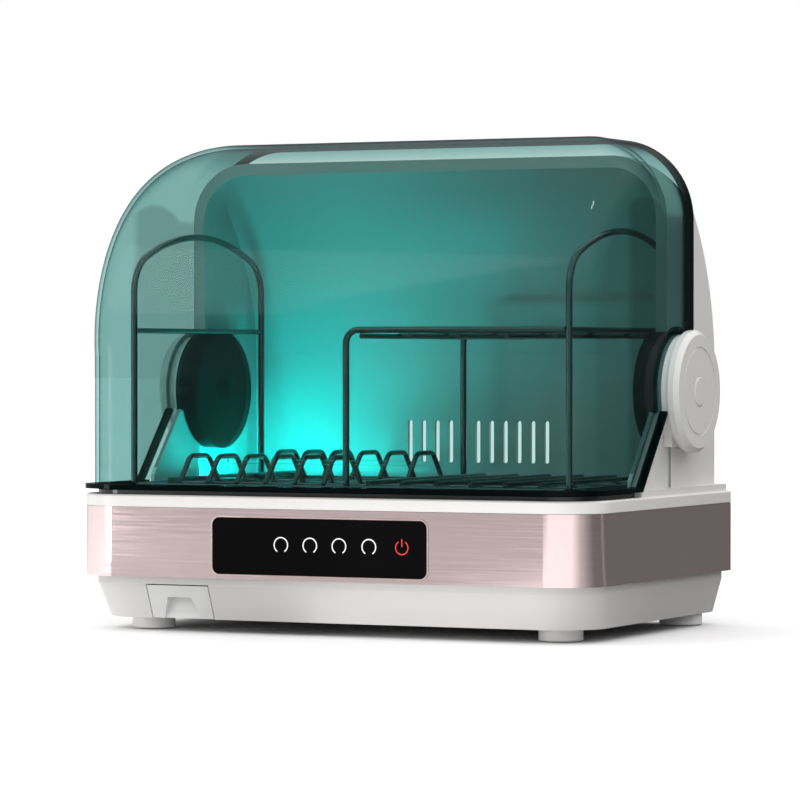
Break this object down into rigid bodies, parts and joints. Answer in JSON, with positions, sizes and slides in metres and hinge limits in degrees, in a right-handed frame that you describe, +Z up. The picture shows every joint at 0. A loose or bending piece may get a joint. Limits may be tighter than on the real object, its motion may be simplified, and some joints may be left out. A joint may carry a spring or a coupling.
{
  "type": "dish sterilizer cabinet",
  "caption": "Countertop dish sterilizer with a see-through domed lid that swings back on side hubs, wire racks, lamp, warm air fan, drip tray and drip drawer.",
  "frame": {"origin": "on the table under the middle of the cabinet's outer box", "axes": "+X to the right seen from the front, +Y to the back, +Z up"},
  "size_m": [0.4454, 0.294, 0.375],
  "materials": {
    "white_shell": "satin moulded plastic",
    "button_white": "satin moulded plastic",
    "skirt_grey": "fine satin moulded plastic",
    "foot_white": "satin moulded plastic",
    "foot_rubber": "matt rubber",
    "band_rose": "smooth rose-grey lacquer",
    "rear_grey": "fine textured plastic",
    "screw_steel": "zinc plated",
    "gland_black": "moulded nylon",
    "bezel_pink": "polished line",
    "panel_glass": "smooth printed glass",
    "board_green": "solder mask",
    "spring_steel": "plated wire",
    "drawer_clear": "clear plastic",
    "inner_grey": "moulded plastic",
    "seal_black": "smooth silicone",
    "tray_steel": "pressed stainless sheet",
    "trough_aluminium": "polished sheet",
    "lamp_glass": "quartz tube",
    "socket_white": "heat resistant plastic",
    "guard_white": "moulded grille",
    "hood_black": "heat resistant plastic",
    "fan_black": "glass filled plastic",
    "motor_grey": "cast case",
    "heater_ceramic": "heat resistant plastic",
    "heater_fins": "thin fins",
    "reed_dark": "moulded case",
    "lid_teal": "tinted see-through acrylic",
    "magnet_dark": "nickel plated",
    "pin_steel": "turned steel",
    "bush_nylon": "natural nylon",
    "rack_wire": "polished stainless wire"
  },
  "bodies": {
    "cabinet": {"air_duct": "inner_grey", "air_hood": "hood_black", "base_band": "band_rose", "base_screws": "screw_steel", "base_tub": "skirt_grey", "bottom_cover": "skirt_grey", "bowl_shelf": "rack_wire", "cap_button_left": "button_white", "cap_button_right": "button_white", "control_glass": "panel_glass", "cord_gland": "gland_black", "deck": "white_shell", "drain_spout": "inner_grey", "drawer_guide": "inner_grey", "drip_tray": "tray_steel", "fan_housing": "fan_black", "fan_motor": "motor_grey", "foot_front_left": "foot_white", "foot_front_right": "foot_white", "foot_pads": "foot_rubber", "foot_rear_left": "foot_white", "foot_rear_right": "foot_white", "heater_core": "heater_fins", "heater_frame": "heater_ceramic", "hinge_bush_left": "bush_nylon", "hinge_bush_right": "bush_nylon", "hinge_cap_left": "white_shell", "hinge_cap_right": "white_shell", "hinge_drum_left": "white_shell", "hinge_drum_right": "white_shell", "lamp_ballast": "board_green", "lamp_guard": "guard_white", "lamp_socket_left": "socket_white", "lamp_socket_right": "socket_white", "lamp_trough": "trough_aluminium", "lid_seal": "seal_black", "panel_bezel": "bezel_pink", "plate_dividers_front": "rack_wire", "plate_dividers_rear": "rack_wire", "power_board": "board_green", "rack_base": "rack_wire", "rack_hoop_left": "rack_wire", "rack_hoop_right": "rack_wire", "rear_housing": "white_shell", "rear_panel": "rear_grey", "reed_switch": "reed_dark", "touch_board": "board_green", "touch_springs": "spring_steel", "uv_lamp": "lamp_glass"},
    "lid": {"lid_shell": "lid_teal", "lid_hub_left": "white_shell", "lid_hub_right": "white_shell", "hinge_pin_left": "pin_steel", "hinge_pin_right": "pin_steel", "lid_magnet": "magnet_dark"},
    "drawer": {"drip_drawer": "drawer_clear"},
    "impeller": {"fan_impeller": "fan_black"}
  },
  "joints": [
    {"name": "lid_hinge", "type": "hinge", "parent": "cabinet", "child": "lid", "pos_m": [0, 0.053, 0.1817], "axis": [-1, 0, 0], "range_deg": [0, 95]},
    {"name": "drawer_slide", "type": "slide", "parent": "cabinet", "child": "drawer", "axis": [0, -1, 0], "range_m": [0, 0.055]},
    {"name": "fan_spin", "type": "hinge", "parent": "cabinet", "child": "impeller", "pos_m": [0.065, 0.015, 0.025], "axis": [0, 0, 1], "continuous": true}
  ]
}
